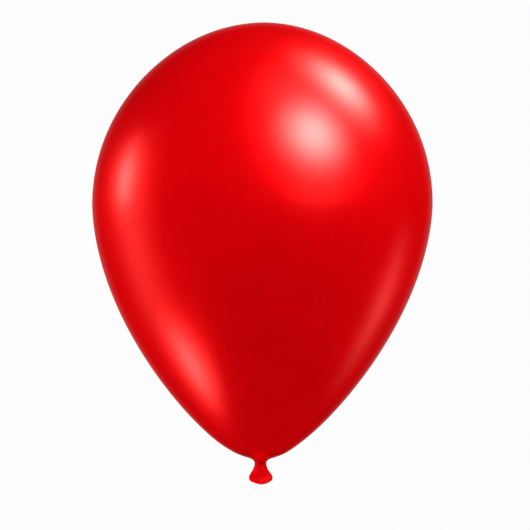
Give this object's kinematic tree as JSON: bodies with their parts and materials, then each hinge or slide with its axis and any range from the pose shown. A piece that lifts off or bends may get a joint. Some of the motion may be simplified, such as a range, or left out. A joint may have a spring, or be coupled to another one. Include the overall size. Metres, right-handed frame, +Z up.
{
  "type": "latex balloon",
  "caption": "Inflated round latex balloon in pearl red, pear-shaped, tied in its own neck, with a flattened flared tail and a rolled rim.",
  "frame": {"origin": "on the balloon's axis at the waist, the narrowest place of the neck, where a ribbon is tied", "axes": "+Z up along the balloon's axis through the crown; X across the broad side of the flattened tail; Y through its thin side"},
  "size_m": [0.2806, 0.2804, 0.3802],
  "materials": {
    "envelope_latex": "pearl red latex stretched thin, satin with soft broad highlights",
    "neck_latex": "pearl red latex hardly stretched, finely pleated, satin",
    "tail_latex": "pearl red latex, relaxed, soft satin",
    "rim_latex": "pearl red latex rolled into a bead, satin"
  },
  "bodies": {
    "envelope": {"envelope": "envelope_latex"},
    "throat": {"neck_throat": "neck_latex"},
    "neck": {"neck_waist": "neck_latex"},
    "knot": {"knot_core": "neck_latex", "knot_loop": "neck_latex"},
    "tail": {"tail_skirt": "tail_latex", "rolled_rim": "rim_latex"}
  },
  "joints": [
    {"name": "neck_nod", "type": "hinge", "parent": "envelope", "child": "throat", "pos_m": [0, 0, 0.0012], "axis": [1, 0, 0], "range_deg": [-20, 20], "stiffness_Nm_per_rad": 0.001},
    {"name": "neck_sway", "type": "hinge", "parent": "throat", "child": "neck", "pos_m": [0, 0, 0.0012], "axis": [0, 1, 0], "range_deg": [-20, 20], "stiffness_Nm_per_rad": 0.001},
    {"name": "neck_twist", "type": "hinge", "parent": "neck", "child": "knot", "pos_m": [0, 0, 0], "axis": [0, 0, 1], "range_deg": [-90, 90], "stiffness_Nm_per_rad": 0.0005},
    {"name": "tail_flap", "type": "hinge", "parent": "knot", "child": "tail", "pos_m": [0, 0, -0.0074], "axis": [1, 0, 0], "range_deg": [-50, 50], "stiffness_Nm_per_rad": 0.0005}
  ]
}
